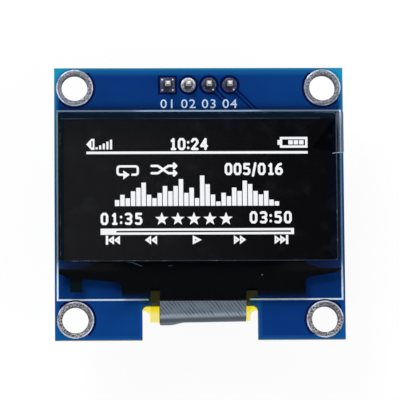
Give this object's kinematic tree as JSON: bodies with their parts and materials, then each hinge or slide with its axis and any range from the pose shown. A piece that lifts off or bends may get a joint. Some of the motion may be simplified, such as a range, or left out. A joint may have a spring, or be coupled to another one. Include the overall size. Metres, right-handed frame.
{
  "type": "small oled module",
  "caption": "Blue circuit board carrying a small lit monochrome display panel, with a folded flexible lead in a notch, plated corner fixing holes and a pin header.",
  "frame": {"origin": "centre of the fixing-hole pattern, on the back face of the circuit board", "axes": "+X to the right and +Y up towards the pin header for someone reading the screen, +Z out of the screen towards the reader; the header pins point along -Z"},
  "size_m": [0.0354, 0.0334, 0.0116],
  "materials": {
    "solder_mask": "glossy blue solder mask over glass-fibre board",
    "tinned_copper": "uneven bright tin",
    "solder": "bright solder",
    "pin_metal": "tin-plated brass",
    "black_moulding": "matt black moulding",
    "white_ink": "screen-printed white ink",
    "foam_tape": "double-sided foam tape",
    "clear_glass": "clear float glass",
    "seal_bead": "cured sealing bead",
    "emitter": "dark evaporated layers",
    "polariser_film": "dark polarising film",
    "clear_film": "clear peel-off film",
    "lit_pixels": "lit pixels",
    "dark_tracks": "dense dark metal tracks seen through glass",
    "silicon": "polished silicon",
    "black_resin": "black potting resin",
    "yellow_polyimide": "translucent yellow polyimide",
    "grey_cover": "grey cover film with ridges over the tracks",
    "gilt_copper": "gilt contact fingers",
    "chip_ceramic": "tan ceramic with tinned ends",
    "resistor_coating": "black glaze with tinned ends"
  },
  "bodies": {
    "root": {"pcb": "solder_mask", "hole_plating_1": "tinned_copper", "hole_plating_2": "tinned_copper", "hole_plating_3": "tinned_copper", "hole_plating_4": "tinned_copper", "header_pads": "tinned_copper", "header_base": "black_moulding", "pin_1": "pin_metal", "pin_2": "pin_metal", "pin_3": "pin_metal", "pin_4": "pin_metal", "solder_joint_1": "solder", "solder_joint_2": "solder", "solder_joint_3": "solder", "solder_joint_4": "solder", "front_print": "white_ink", "foam_strip_1": "foam_tape", "foam_strip_2": "foam_tape", "back_glass": "clear_glass", "glass_seal": "seal_bead", "emitting_layer": "emitter", "front_glass": "clear_glass", "polariser": "polariser_film", "protective_film": "clear_film", "lit_graphics": "lit_pixels", "glass_tracks": "dark_tracks", "driver_chip": "silicon", "chip_resin": "black_resin", "flex_lead": "yellow_polyimide", "flex_cover": "grey_cover", "flex_fingers": "gilt_copper", "lead_lands": "tinned_copper", "lead_solder": "solder", "regulator_body": "black_moulding", "regulator_legs": "tinned_copper", "diode_body": "black_moulding", "diode_legs": "tinned_copper", "capacitor_1": "chip_ceramic", "capacitor_2": "chip_ceramic", "capacitor_3": "chip_ceramic", "capacitor_4": "chip_ceramic", "capacitor_5": "chip_ceramic", "capacitor_6": "chip_ceramic", "capacitor_7": "chip_ceramic", "capacitor_8": "chip_ceramic", "resistor_1": "resistor_coating", "resistor_2": "resistor_coating", "resistor_3": "resistor_coating", "resistor_4": "resistor_coating", "resistor_5": "resistor_coating", "resistor_6": "resistor_coating", "resistor_7": "resistor_coating", "resistor_8": "resistor_coating", "part_lands": "tinned_copper", "part_solder": "solder", "back_print": "white_ink"}
  },
  "joints": []
}
